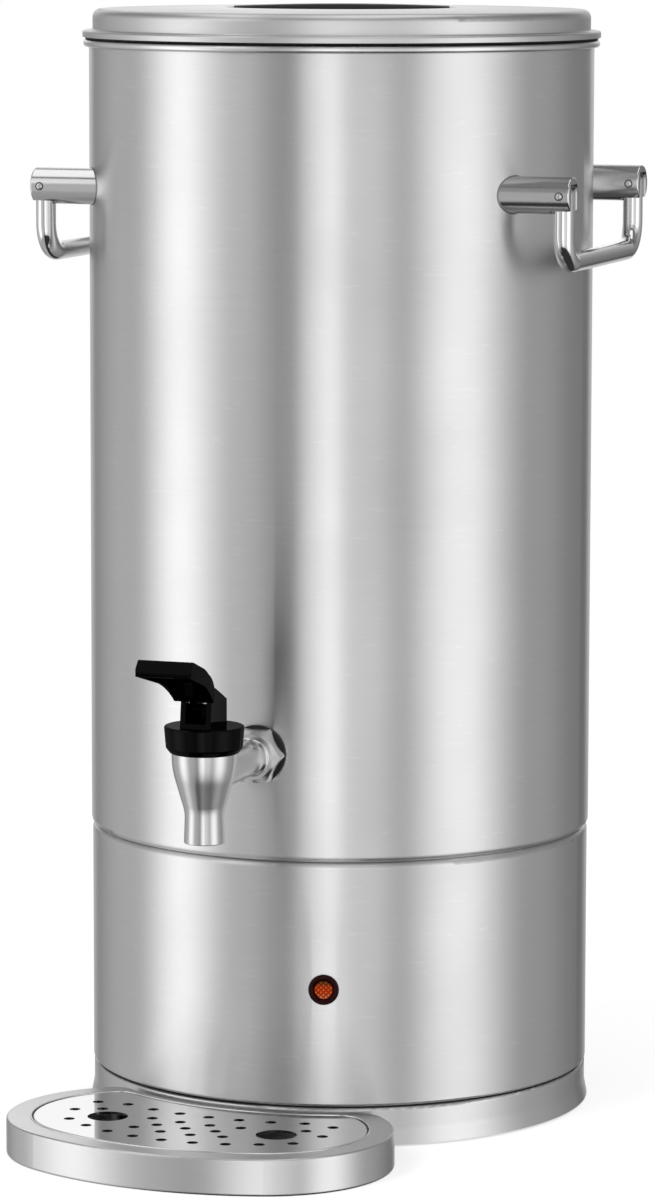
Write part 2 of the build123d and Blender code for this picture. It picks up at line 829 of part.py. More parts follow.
with BuildPart() as tap_lever:
    with BuildSketch(side):
        add(lever_side())
    extrude(amount=lever_half_width, both=True)
    with BuildSketch(Plane.XY.offset(neck_floor)):
        add(lever_plan(0))
    extrude(amount=50, mode=Mode.INTERSECT)
    add(lever_hollow.part, mode=Mode.SUBTRACT)
    with BuildSketch(side):
        with Locations((pivot_reach, pivot_height)):
            Circle(3.3)
        with Locations((pivot_reach + 10.5, pivot_height + 6.5)):
            Circle(3.4)
        with Locations((pivot_reach + 12.4, pivot_height + 12)):
            Circle(3.0)
        make_hull()
    extrude(amount=hub_half_width, both=True)
    with BuildSketch(side):
        with Locations((pivot_reach - 2.2, fork_top)):
            Rectangle(11.8, 2.9, align=(Align.MAX, Align.MAX))
    extrude(amount=5, both=True)
    with BuildSketch(side):
        with Locations((tap_reach + 4.5, fork_top + 1)):
            Rectangle(20, 6, align=(Align.MAX, Align.MAX))
    extrude(amount=stem_radius + 0.4, both=True, mode=Mode.SUBTRACT)
    with BuildSketch(side):
        with Locations((pivot_reach, pivot_height)):
            Circle(pivot_radius + 0.06)
    extrude(amount=lever_half_width, both=True, mode=Mode.SUBTRACT)
save(tap_lever, "tap_lever")

with BuildPart() as lever_pin:
    with BuildSketch(side.offset(neck_half_width + 0.2)):
        with Locations((pivot_reach, pivot_height)):
            Circle(pivot_radius)
    extrude(amount=-(2 * neck_half_width - 1.6))
save(lever_pin, "lever_pin")

stem_bottom = seat_height + stem_foot
disc_bottom = seat_height + cup_height
disc_top = disc_bottom + collar_disc[1]

with BuildPart() as valve_stem:
    with BuildSketch(tap_front):
        with BuildLine():
            Polyline(
                (0, stem_bottom),
                (stem_radius, stem_bottom),
                (stem_radius, disc_bottom),
                (collar_disc[0], disc_bottom),
                (collar_disc[0], disc_top),
                (stem_radius, disc_top),
                (stem_radius, fork_top + 0.15),
                (button_radius, fork_top + 0.15),
                (button_radius, fork_top + 2),
            )
            TangentArc((0, fork_top + 3.3), (button_radius, fork_top + 2), tangent=(1, 0))
            Line((0, fork_top + 3.3), (0, stem_bottom))
        make_face()
    revolve(axis=stem_axis)
save(valve_stem, "valve_stem")

with BuildPart() as seat_cup:
    with BuildSketch(tap_front):
        with BuildLine():
            Polyline(
                (0, seat_height + 0.1),
                (seat_radius - 0.7, seat_height + 0.1),
                (seat_radius - 0.6, disc_bottom),
                (stem_radius, disc_bottom),
                (stem_radius, stem_bottom),
                (0, stem_bottom),
                close=True,
            )
        make_face()
    revolve(axis=stem_axis)
save(seat_cup, "seat_cup")

with BuildPart() as valve_spring:
    spring_length = body_top - disc_top - 2 * spring_wire
    spring_start = (0, -tap_reach, disc_top + spring_wire)
    with BuildLine() as coil:
        Helix(spring_length / spring_turns, spring_length, spring_radius, center=spring_start)
    with BuildSketch(Plane(origin=coil.wire() @ 0, z_dir=coil.wire() % 0)):
        Circle(spring_wire)
    sweep(path=coil.wire(), is_frenet=True)
save(valve_spring, "valve_spring")

# ================= lamp, switch and cable inlet =================

lamp_face = Plane(origin=(0, 0, lamp_height), x_dir=lamp_out.x_dir, z_dir=lamp_out.z_dir)
gland_face = Plane(origin=(0, 0, gland_height), x_dir=(-1, 0, 0), z_dir=(0, 1, 0))
switch_face = Plane(origin=(0, 0, switch_height), x_dir=(-1, 0, 0), z_dir=(0, 1, 0))


def saddled(face, outline, proud, taper=0):
    """Boss on the lower casing whose back follows the casing's curve."""
    with BuildPart() as boss:
        with BuildSketch(face.offset(base_casing_radius - 1)):
            add(outline)
        extrude(amount=1 + proud, taper=taper)
        with Locations(face.origin):
            Cylinder(base_casing_radius, 60, mode=Mode.SUBTRACT)
    return boss.part


def disc(radius):
    with BuildSketch() as outline:
        Circle(radius)
    return outline.sketch


def panel(width, height, corner):
    with BuildSketch() as outline:
        RectangleRounded(width, height, corner)
    return outline.sketch


with BuildPart() as lamp_bezel:
    add(saddled(lamp_face, disc(lamp_radius + 0.3), 2.2, taper=14))
    with BuildSketch(lamp_face.offset(base_casing_radius - 13)):
        Circle(lamp_bore)
    extrude(amount=13.5)
    with BuildSketch(lamp_face.offset(base_casing_radius - 14)):
        Circle(lens_radius + 0.1)
    extrude(amount=20, mode=Mode.SUBTRACT)
save(lamp_bezel, "lamp_bezel")

with BuildPart() as lamp_lens:
    with BuildSketch(lamp_face.offset(base_casing_radius - 12)):
        Circle(lens_radius)
    extrude(amount=13)
    with BuildSketch(lamp_face.offset(base_casing_radius + 1)):
        RegularPolygon(lens_radius, 8)
    extrude(amount=1.6, taper=52)
save(lamp_lens, "lamp_lens")

with BuildPart() as lamp_nut:
    with BuildSketch(lamp_face.offset(base_casing_radius - sheet - 3.4)):
        add(hexagon_ring(lamp_nut_size, lamp_bore))
    extrude(amount=3)
save(lamp_nut, "lamp_nut")

with BuildPart() as switch_housing:
    add(saddled(switch_face, panel(15, 30, 1.5), 1.8))
    with BuildSketch(switch_face.offset(base_casing_radius - 20)):
        add(panel(*switch_body, 0.8))
    extrude(amount=20.5)
    with BuildSketch(switch_face.offset(rocker_pivot - rocker_depth)):
        Rectangle(rocker_width + 0.6, rocker_length + 0.6)
    extrude(amount=rocker_depth + 8, mode=Mode.SUBTRACT)
    with Locations((0, rocker_pivot, switch_height)):
        Cylinder(1.25, rocker_width + 2.2, rotation=(0, 90, 0), mode=Mode.SUBTRACT)
    with BuildSketch(switch_face.offset(base_casing_radius - 28)):
        with GridLocations(0, 9, 1, 3):
            Rectangle(6.3, 0.8)
    extrude(amount=8)
save(switch_housing, "switch_housing")

with BuildPart() as switch_rocker:
    rocker_side = Plane(origin=(0, rocker_pivot, switch_height), x_dir=(0, 1, 0), z_dir=(1, 0, 0))
    with BuildSketch(rocker_side):
        with Locations(Location((0, 0, 0), (0, 0, rocker_tilt))):
            Polygon((-3, -12), (5.4, -12), (4.2, 0), (5.4, 12), (-3, 12), align=None)
        Circle(rocker_length / 2, mode=Mode.INTERSECT)
    extrude(amount=rocker_width / 2, both=True)
    with Locations((0, rocker_pivot, switch_height)):
        Cylinder(1.2, rocker_width + 1.8, rotation=(0, 90, 0))
save(switch_rocker, "switch_rocker")

with BuildPart() as cable_gland:
    add(saddled(gland_face, disc(12), 1.6))
    with BuildSketch(gland_face.offset(base_casing_radius + 1.5)):
        RegularPolygon(gland_hexagon / sqrt(3), 6)
    extrude(amount=6)
    with BuildSketch(gland_face.offset(base_casing_radius + 7.5)):
        Circle(9.6)
    extrude(amount=11, taper=8)
    with BuildSketch(gland_face.offset(base_casing_radius - 16)):
        Circle(gland_thread)
    extrude(amount=17)
    outlet = cable_gland.edges().filter_by(GeomType.CIRCLE).sort_by(Axis.Y)[-1]
    fillet(outlet, 2.0)
    with BuildSketch(gland_face.offset(base_casing_radius - 17)):
        Circle(gland_bore)
    extrude(amount=40, mode=Mode.SUBTRACT)
save(cable_gland, "cable_gland")

with BuildPart() as gland_nut:
    with BuildSketch(gland_face.offset(base_casing_radius - sheet - 6.0)):
        add(hexagon_ring(gland_hexagon - 1, gland_thread))
    extrude(amount=5)
save(gland_nut, "gland_nut")

# ================= drip tray =================

tray_plane = Plane.XY.rotated((0, 0, -tray_turn))


def tray_outline(inset, hug, corner):
    """Outline with a wide front arc, two round sides and a hollow back of the given radius about the urn."""
    across, reach = side_arc_centre
    side_radius = side_arc - inset
    front_radius = front_arc - inset
    lean = atan2(across, reach - front_arc_centre)
    join = Vector(front_radius * sin(lean), -front_arc_centre - front_radius * cos(lean))
    nose = Vector(0, -front_arc_centre - front_radius)
    flank = Vector(across + side_radius, -reach)
    centre_distance = hypot(across, reach)
    along = (hug**2 - side_radius**2 + centre_distance**2) / (2 * centre_distance)
    off = sqrt(hug**2 - along**2)
    tip_across = (along * across + off * reach) / centre_distance
    tip_reach = (along * reach - off * across) / centre_distance
    tip = Vector(tip_across, -tip_reach)
    with BuildSketch() as outline:
        with BuildLine():
            ThreePointArc((-join.X, join.Y), nose, join)
            ThreePointArc(join, flank, tip)
            ThreePointArc(tip, (0, -hug), (-tip.X, tip.Y))
            ThreePointArc((-tip.X, tip.Y), (-flank.X, flank.Y), (-join.X, join.Y))
        make_face()
        fillet(outline.vertices().sort_by(Axis.Y)[-2:], corner)
    return outline.sketch


def grid_outline(inset):
    return tray_outline(grid_inset + inset, grid_hug + inset, grid_corner - inset)


with BuildPart() as drip_tray:
    shelf_top = tray_height - grid_depth
    shelf_bottom = shelf_top - tray_sheet
    rim_bottom = tray_height - tray_sheet
    with BuildSketch(tray_plane):
        add(tray_outline(0, tray_hug, 12))
    extrude(amount=tray_height)
    fillet(drip_tray.edges().group_by(Axis.Z)[-1], tray_edge)
    fillet(drip_tray.edges().group_by(Axis.Z)[0], 1.5)
    with BuildSketch(tray_plane.offset(tray_sheet)):
        add(tray_outline(tray_sheet, tray_hug + tray_sheet, 10.8))
    extrude(amount=shelf_bottom - tray_sheet, mode=Mode.SUBTRACT)
    with BuildSketch(tray_plane.offset(shelf_bottom)):
        add(tray_outline(2.4, tray_hug + 2.4, 9.6))
        add(grid_outline(-grid_gap - tray_sheet), mode=Mode.SUBTRACT)
    extrude(amount=rim_bottom - shelf_bottom, mode=Mode.SUBTRACT)
    with BuildSketch(tray_plane.offset(shelf_bottom)):
        add(grid_outline(shelf_width))
    extrude(amount=tray_height, mode=Mode.SUBTRACT)
    with BuildSketch(tray_plane.offset(shelf_top)):
        add(grid_outline(-grid_gap))
    extrude(amount=tray_height, mode=Mode.SUBTRACT)
save(drip_tray, "drip_tray")

# rows of drain holes: reach of the row's centre, its radius, and the holes' angles from the mid-plane
hole_rows = (
    (0, 168.6, (0, 6.05, 12.1, 18.4)),
    (0, 185.5, (2.74, 8.2, 19.2)),
    (0, 197.0, (0, 5.1, 22.1)),
    (114.7, 94.8, (5.4, 16.2)),
    (114.7, 111.0, (0, 9.2, 18.4, 27.6, 36.9)),
    (114.7, 84.9, (56.4,)),
)

with BuildPart() as drip_grid:
    with BuildSketch(tray_plane.offset(shelf_top + 0.1)):
        add(grid_outline(0))
    extrude(amount=grid_depth - 0.1)
    fillet(drip_grid.edges().group_by(Axis.Z)[-1], 0.8)
    with BuildSketch(tray_plane.offset(shelf_top)):
        add(grid_outline(grid_sheet))
    extrude(amount=tray_height - grid_sheet - shelf_top, mode=Mode.SUBTRACT)
    with BuildSketch(tray_plane.offset(shelf_top)):
        for row_centre, row_radius, angles in hole_rows:
            for angle in sorted({turn * mirrored for turn in angles for mirrored in (-1, 1)}):
                hole_x = row_radius * sin(radians(angle))
                hole_y = -row_centre - row_radius * cos(radians(angle))
                with Locations((hole_x, hole_y)):
                    Circle(drain_radius)
        with Locations((-finger_hole[0], -finger_hole[1]), (finger_hole[0], -finger_hole[1])):
            Circle(finger_hole[2])
    extrude(amount=tray_height, mode=Mode.SUBTRACT)
save(drip_grid, "drip_grid")
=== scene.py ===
import math

import bmesh
import bpy
from mathutils import Matrix, Vector


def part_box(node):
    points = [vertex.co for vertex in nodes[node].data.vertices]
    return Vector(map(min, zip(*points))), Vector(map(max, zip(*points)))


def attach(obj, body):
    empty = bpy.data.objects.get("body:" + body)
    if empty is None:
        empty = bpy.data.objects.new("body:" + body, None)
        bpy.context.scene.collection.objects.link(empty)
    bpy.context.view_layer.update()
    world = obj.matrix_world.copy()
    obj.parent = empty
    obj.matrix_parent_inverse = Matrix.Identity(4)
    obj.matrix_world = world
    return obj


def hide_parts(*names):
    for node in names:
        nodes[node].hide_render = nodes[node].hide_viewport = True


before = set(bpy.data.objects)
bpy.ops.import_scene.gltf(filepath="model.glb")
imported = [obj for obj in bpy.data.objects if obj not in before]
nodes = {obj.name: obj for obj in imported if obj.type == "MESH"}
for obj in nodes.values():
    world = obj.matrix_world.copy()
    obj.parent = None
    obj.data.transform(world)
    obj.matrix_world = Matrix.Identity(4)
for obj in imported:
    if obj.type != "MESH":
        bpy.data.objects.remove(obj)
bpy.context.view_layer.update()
scene = bpy.context.scene
print("frame: loaded", len(nodes), "nodes")

mm = 0.001

camera = {
    "turn": 18.5,  # degrees from the tap, towards +X
    "reach": 2.897,  # metres from the urn's axis
    "height": 0.6694,
    "heading": 18.664,  # this and the next two are degrees
    "tilt": 82.370,
    "roll": -0.108,
    "lens": 155.95,  # millimetres, on a sensor of the width below
    "sensor": 36,
    "farthest": 60,  # metres
}


def makeCamera():
    turn = math.radians(camera["turn"])
    data = bpy.data.cameras.new("camera")
    data.lens = camera["lens"]
    data.sensor_width = camera["sensor"]
    data.clip_end = camera["farthest"]
    eye = bpy.data.objects.new("camera", data)
    eye.location = (camera["reach"] * math.sin(turn), -camera["reach"] * math.cos(turn), camera["height"])
    eye.rotation_euler = [math.radians(camera[k]) for k in ("tilt", "roll", "heading")]
    scene.collection.objects.link(eye)
    scene.camera = eye


makeCamera()
scene.view_settings.view_transform = "Standard"
print("camera: placed")


def addNode(tree, kind, values=None, **settings):
    # values holds a number, a colour or another node's output for each input
    made = tree.nodes.new(kind)
    for key, value in settings.items():
        setattr(made, key, value)
    for key, value in (values or {}).items():
        if isinstance(value, bpy.types.NodeSocket):
            tree.links.new(value, made.inputs[key])
        else:
            made.inputs[key].default_value = value
    return made


def calc(tree, operation, a, b=0.0, clamp=False):
    made = addNode(tree, "ShaderNodeMath", {0: a, 1: b}, operation=operation, use_clamp=clamp)
    return made.outputs[0]


def remap(tree, value, low, high, toLow=0.0, toHigh=1.0, smooth=False):
    kind = "SMOOTHSTEP" if smooth else "LINEAR"
    made = addNode(
        tree,
        "ShaderNodeMapRange",
        {"Value": value, "From Min": low, "From Max": high, "To Min": toLow, "To Max": toHigh},
        interpolation_type=kind,
    )
    return made.outputs["Result"]


def scaledBy(tree, vector, scale, turn=(0, 0, 0)):
    made = addNode(tree, "ShaderNodeMapping", {"Vector": vector, "Scale": scale, "Rotation": turn})
    return made.outputs["Vector"]


def noise(tree, vector, scale=1.0, detail=2.0, rough=0.5):
    made = addNode(
        tree,
        "ShaderNodeTexNoise",
        {"Vector": vector, "Scale": scale, "Detail": detail, "Roughness": rough},
    )
    return made.outputs["Fac"]


def shade(tree, colour, factor):
    made = addNode(tree, "ShaderNodeVectorMath", {0: colour}, operation="SCALE")
    tree.links.new(factor, made.inputs["Scale"])
    return made.outputs["Vector"]


def makeGroup(name, inputs, outputs):
    group = bpy.data.node_groups.new(name, "ShaderNodeTree")
    for label, kind, value in inputs:
        socket = group.interface.new_socket(name=label, in_out="INPUT", socket_type=kind)
        if value is not None:
            socket.default_value = value
    for label, kind in outputs:
        group.interface.new_socket(name=label, in_out="OUTPUT", socket_type=kind)
    return group, group.nodes.new("NodeGroupInput").outputs, group.nodes.new("NodeGroupOutput").inputs


numberSocket, colourSocket, vectorSocket = "NodeSocketFloat", "NodeSocketColor", "NodeSocketVector"
finishOut = [("Color", colourSocket), ("Roughness", numberSocket), ("Height", numberSocket)]


brush = {
    "fine": 0.7,  # shares of the fine and the broad lines
    "broad": 0.3,
    "broadScale": (0.3, 0.3, 0.21),  # against the fine lines
    "dashScale": (1.7, 1.7, 0.55),
    "dashFrom": 0.66,  # how much of the noise shows as a dash
    "dashTo": 0.78,
    "roughShare": 0.35,  # how much the lines change the roughness
    "smearScale": 14.0,
    "smearFrom": 0.35,
    "smearTo": 0.7,
}


def brushedGroup():
    # fine lines, short bright dashes and the smears that hands leave
    group, given, out = makeGroup(
        "brushedGrain",
        [
            ("Vector", vectorSocket, None),
            ("Tone", colourSocket, (0.6, 0.6, 0.6, 1)),
            ("Roughness", numberSocket, 0.33),
            ("Contrast", numberSocket, 0.1),
            ("Dashes", numberSocket, 0.08),
            ("Handling", numberSocket, 0.05),
        ],
        finishOut,
    )
    fine = noise(group, given["Vector"], 1.0, 3.0, 0.65)
    broad = noise(group, scaledBy(group, given["Vector"], brush["broadScale"]), 1.0, 2.0)
    dash = noise(group, scaledBy(group, given["Vector"], brush["dashScale"]), 1.0, 1.0)
    dashes = remap(group, dash, brush["dashFrom"], brush["dashTo"])
    fineShare = calc(group, "MULTIPLY", fine, brush["fine"])
    lines = calc(group, "ADD", fineShare, calc(group, "MULTIPLY", broad, brush["broad"]))
    swing = calc(group, "MULTIPLY", calc(group, "SUBTRACT", lines, 0.5), given["Contrast"])
    spark = calc(group, "MULTIPLY", dashes, given["Dashes"])
    factor = calc(group, "ADD", calc(group, "ADD", swing, spark), 1.0)
    place = addNode(group, "ShaderNodeTexCoord").outputs["Object"]
    cloud = noise(group, place, brush["smearScale"], 3.0)
    wiped = remap(group, cloud, brush["smearFrom"], brush["smearTo"], -1.0, 1.0)
    smear = calc(group, "MULTIPLY", wiped, given["Handling"])
    swayed = calc(group, "MULTIPLY", swing, brush["roughShare"])
    rough = calc(group, "ADD", given["Roughness"], swayed)
    links = group.links
    links.new(shade(group, given["Tone"], factor), out["Color"])
    links.new(calc(group, "ADD", rough, smear), out["Roughness"])
    links.new(lines, out["Height"])
    return group


mould = {
    "grain": 0.6,  # shares of the fine grain and the broad cloud
    "cloud": 0.4,
    "cloudScale": 40.0,
    "roughShare": 0.5,
}


def mouldedGroup():
    # the faint cloud and pimple of a moulded surface
    group, given, out = makeGroup(
        "mouldedGrain",
        [
            ("Vector", vectorSocket, None),
            ("Tone", colourSocket, (0.02, 0.02, 0.02, 1)),
            ("Roughness", numberSocket, 0.3),
            ("Speckle", numberSocket, 0.2),
            ("Grain Size", numberSocket, 900.0),
        ],
        finishOut,
    )
    grain = addNode(
        group,
        "ShaderNodeTexNoise",
        {"Vector": given["Vector"], "Scale": given["Grain Size"], "Detail": 2.0},
    ).outputs["Fac"]
    cloud = noise(group, given["Vector"], mould["cloudScale"], 3.0)
    grainShare = calc(group, "MULTIPLY", grain, mould["grain"])
    mixed = calc(group, "ADD", grainShare, calc(group, "MULTIPLY", cloud, mould["cloud"]))
    swing = calc(group, "MULTIPLY", calc(group, "SUBTRACT", mixed, 0.5), given["Speckle"])
    factor = calc(group, "ADD", swing, 1.0)
    swayed = calc(group, "MULTIPLY", swing, mould["roughShare"])
    rough = calc(group, "ADD", given["Roughness"], swayed)
    group.links.new(shade(group, given["Tone"], factor), out["Color"])
    group.links.new(rough, out["Roughness"])
    group.links.new(grain, out["Height"])
    return group


brushedGrain = brushedGroup()
mouldedGrain = mouldedGroup()


def startMaterial(name):
    made = bpy.data.materials.new(name)
    made.use_nodes = True
    tree = made.node_tree
    return made, tree, tree.nodes["Principled BSDF"]


def tint(tone):
    # a single number stands for a grey
    return (*[tone] * 3, 1) if isinstance(tone, float) else (*tone, 1)


# depth of the relief in millimetres, and how blurred a clear coat is
surface = {"metalDepth": 0.02, "mouldedDepth": 0.03, "coatBlur": 0.05}


def finishInto(tree, shader, effect, bump, depth):
    distance = depth * mm
    tree.links.new(effect.outputs["Color"], shader.inputs["Base Color"])
    tree.links.new(effect.outputs["Roughness"], shader.inputs["Roughness"])
    relief = addNode(
        tree,
        "ShaderNodeBump",
        {"Height": effect.outputs["Height"], "Strength": bump, "Distance": distance},
    )
    tree.links.new(relief.outputs["Normal"], shader.inputs["Normal"])


def metal(name, tone, rough, grain=(40, 40, 900), contrast=0.1, dashes=0.05, handling=0.03,
          anisotropic=0.0, axis="Z", turned=0.25, bump=0.05, crown=None):
    made, tree, shader = startMaterial(name)
    # grain is how finely the scratches lie along x, y and z; anisotropic stretches the reflections
    place = addNode(tree, "ShaderNodeTexCoord").outputs["Object"]
    colour = tint(tone)
    if crown:  # the heights between which the top is painted brighter, and that top's tone: a painted highlight
        low, high, bright = crown
        height = addNode(tree, "ShaderNodeSeparateXYZ", {0: place}).outputs["Z"]
        colour = remap(tree, height, low, high, tone, bright, smooth=True)
    given = {
        "Vector": scaledBy(tree, place, grain),
        "Tone": colour,
        "Roughness": rough,
        "Contrast": contrast,
        "Dashes": dashes,
        "Handling": handling,
    }
    effect = addNode(tree, "ShaderNodeGroup", given, node_tree=brushedGrain)
    shader.inputs["Metallic"].default_value = 1.0
    finishInto(tree, shader, effect, bump, surface["metalDepth"])
    if anisotropic:
        shader.inputs["Anisotropic"].default_value = anisotropic
        shader.inputs["Anisotropic Rotation"].default_value = turned
        along = addNode(tree, "ShaderNodeTangent", direction_type="RADIAL", axis=axis)
        tree.links.new(along.outputs["Tangent"], shader.inputs["Tangent"])
    return made


def moulded(name, tone, rough, speckle=0.15, grainSize=900.0, bump=0.1, coat=0.0, specular=0.5):
    made, tree, shader = startMaterial(name)
    place = addNode(tree, "ShaderNodeTexCoord").outputs["Object"]
    given = {
        "Vector": place,
        "Tone": tint(tone),
        "Roughness": rough,
        "Speckle": speckle,
        "Grain Size": grainSize,
    }
    effect = addNode(tree, "ShaderNodeGroup", given, node_tree=mouldedGrain)
    shader.inputs["Specular IOR Level"].default_value = specular
    if coat:
        shader.inputs["Coat Weight"].default_value = coat
        shader.inputs["Coat Roughness"].default_value = surface["coatBlur"]
    finishInto(tree, shader, effect, bump, surface["mouldedDepth"])
    return made


def fullSpin(shape, items, axis, steps):
    bmesh.ops.spin(
        shape, geom=items, axis=axis, cent=(0, 0, 0), angle=2 * math.pi, steps=steps, use_merge=True
    )


def toObject(shape, name, material, sharp=35.0):
    # edges that turn by more than sharp degrees stay crisp
    data = bpy.data.meshes.new(name)
    shape.to_mesh(data)
    shape.free()
    data.materials.append(material)
    data.shade_smooth()
    data.set_sharp_from_angle(angle=math.radians(sharp))
    piece = bpy.data.objects.new(name, data)
    scene.collection.objects.link(piece)
    return piece


# the studio, seen only in reflections: a ring of soft boxes, a grey ceiling with two bright panels
# and a ground that is pale on the left and dark elsewhere; lengths are in metres
ring = {
    "radius": 3.5,
    "bottom": -2.2,
    "top": 3.6,
    "steps": 120,
    "cardSides": 64,
    "middle": -71.5,  # degrees from +X to the boxes' angle of zero, which is behind the camera
    "base": 0.25,  # the ring's glow between the boxes
    "lowFade": (-2.1, -1.2, 0.75),  # heights between which the glow changes, and how much is left
    "topFade": (1.2, 2.4, 0.55),
    "highFade": 0.3,  # height over which a high box comes in
    "ceiling": 0.22,
    "panels": {  # middle along x, half width and half depth
        "left": {"middle": -1.65, "wide": 0.5, "deep": 1.8, "soft": 0.15, "glow": 1.3},
        "overhead": {"middle": 0.5, "wide": 0.8, "deep": 1.8, "soft": 0.3, "glow": 1.15},
    },
    "ground": {"left": -1.12, "soft": 0.12, "dark": 0.04, "pale": 0.50},
}
# angles are degrees from behind the camera, positive to its right; half is a box's half width,
# edge its soft border, and level is added to the ring's own glow
softBoxes = {
    "leftRear": {"angle": -147.0, "half": 9.0, "edge": 18.0, "level": -0.14},
    "leftTall": {"angle": -77.5, "half": 0.0, "edge": 30.0, "level": 1.17},
    "leftFill": {"angle": -90.0, "half": 43.0, "edge": 32.0, "level": 0.38},
    "centre": {"angle": -9.5, "half": 6.0, "edge": 6.5, "level": 0.85},
    "centreShelf": {"angle": 6.5, "half": 8.5, "edge": 17.0, "level": 0.84},
    "right": {"angle": 55.5, "half": 2.5, "edge": 37.0, "level": 1.42},
    "rightFill": {"angle": 114.0, "half": 23.0, "edge": 22.0, "level": 0.26},
    "rightFall": {"angle": 146.0, "half": 10.0, "edge": 36.0, "level": -0.22},
    "leftShelf": {"angle": -30.0, "half": 6.0, "edge": 14.0, "level": 0.11},
    "backLowLeft": {"angle": -180.0, "half": 20.0, "edge": 8.0, "level": 0.48},
    "backLowRight": {"angle": 180.0, "half": 20.0, "edge": 8.0, "level": 0.56},
}
highBoxes = {
    "leftHigh": {"angle": -52.0, "half": 9.0, "edge": 4.0, "level": 0.9, "from": 1.3},
    "backLeft": {"angle": -180.0, "half": 22.0, "edge": 10.0, "level": 0.55, "from": 0.6},
    "backRight": {"angle": 180.0, "half": 26.0, "edge": 14.0, "level": 0.42, "from": 0.45},
}


def glowMaterial(name):
    made, tree, shader = startMaterial(name)
    tree.nodes.remove(shader)
    glow = addNode(tree, "ShaderNodeEmission")
    tree.links.new(glow.outputs[0], tree.nodes["Material Output"].inputs["Surface"])
    place = addNode(tree, "ShaderNodeTexCoord").outputs["Object"]
    return made, tree, glow.inputs["Strength"], place


def ringMaterial():
    made, tree, strength, place = glowMaterial("softBoxes")
    turn = (0, 0, -math.radians(ring["middle"]))
    parts = addNode(tree, "ShaderNodeSeparateXYZ", {0: scaledBy(tree, place, (1, 1, 1), turn)})
    around = calc(tree, "ARCTAN2", parts.outputs["Y"], parts.outputs["X"])
    angle = calc(tree, "MULTIPLY", around, 180 / math.pi)
    height = parts.outputs["Z"]

    def glow(box):
        away = calc(tree, "ABSOLUTE", calc(tree, "SUBTRACT", angle, box["angle"]))
        return remap(tree, away, box["half"], box["half"] + box["edge"], box["level"], 0.0, smooth=True)

    total = ring["base"]
    for box in softBoxes.values():
        total = calc(tree, "ADD", glow(box), total)
    low, high, least = ring["lowFade"]
    total = calc(tree, "MULTIPLY", total, remap(tree, height, low, high, least, 1.0, smooth=True))
    low, high, least = ring["topFade"]
    total = calc(tree, "MULTIPLY", total, remap(tree, height, low, high, 1.0, least, smooth=True))
    for box in highBoxes.values():
        above = remap(tree, height, box["from"], box["from"] + ring["highFade"], smooth=True)
        total = calc(tree, "ADD", calc(tree, "MULTIPLY", glow(box), above), total)
    tree.links.new(total, strength)
    return made


def ceilingMaterial():
    made, tree, strength, place = glowMaterial("ceilingGlow")
    parts = addNode(tree, "ShaderNodeSeparateXYZ", {0: place})
    total = ring["ceiling"]
    for panel in ring["panels"].values():
        wide, deep, soft = panel["wide"], panel["deep"], panel["soft"]
        sides = calc(tree, "ABSOLUTE", calc(tree, "SUBTRACT", parts.outputs["X"], panel["middle"]))
        across = remap(tree, sides, wide, wide + soft, panel["glow"], 0.0, smooth=True)
        ends = calc(tree, "ABSOLUTE", parts.outputs["Y"])
        along = remap(tree, ends, deep, deep + soft, 1.0, 0.0, smooth=True)
        total = calc(tree, "ADD", calc(tree, "MULTIPLY", across, along), total)
    tree.links.new(total, strength)
    return made


def groundMaterial():
    made, tree, strength, place = glowMaterial("groundGlow")
    ground = ring["ground"]
    across = addNode(tree, "ShaderNodeSeparateXYZ", {0: place}).outputs["X"]
    left, soft = ground["left"], ground["soft"]
    glow = remap(tree, across, left - soft, left + soft, ground["pale"], ground["dark"], smooth=True)
    tree.links.new(glow, strength)
    return made


def onlyInReflections(piece):
    piece.visible_camera = False
    piece.visible_diffuse = False
    piece.visible_shadow = False
    piece.visible_transmission = False


def makeRing():
    shape = bmesh.new()
    low = shape.verts.new((ring["radius"], 0, ring["bottom"]))
    high = shape.verts.new((ring["radius"], 0, ring["top"]))
    edge = shape.edges.new((low, high))
    fullSpin(shape, [low, high, edge], (0, 0, 1), ring["steps"])
    onlyInReflections(toObject(shape, "softBoxRing", ringMaterial()))
    for name, height, material in (
        ("ceilingCard", ring["top"], ceilingMaterial()),
        ("groundCard", ring["bottom"], groundMaterial()),
    ):
        shape = bmesh.new()
        bmesh.ops.create_circle(shape, cap_ends=True, segments=ring["cardSides"], radius=ring["radius"])
        bmesh.ops.translate(shape, verts=shape.verts, vec=(0, 0, height))
        onlyInReflections(toObject(shape, name, material))


def seenRays(tree):
    # 1 for a ray from the camera, a reflection or clear glass, 0 for light that falls on the object
    path = addNode(tree, "ShaderNodeLightPath")
    seen = calc(tree, "ADD", path.outputs["Is Camera Ray"], path.outputs["Is Glossy Ray"], clamp=True)
    return calc(tree, "ADD", seen, path.outputs["Is Transmission Ray"], clamp=True)


floorSettings = {
    "radius": 6.0,
    "sides": 96,
    "nearFade": 0.45,  # metres from the axis where the floor begins to turn white
    "farFade": 1.3,  # and where it is all white
    "diffuse": 0.5,
    "rough": 0.9,
    "glow": 0.62,
}


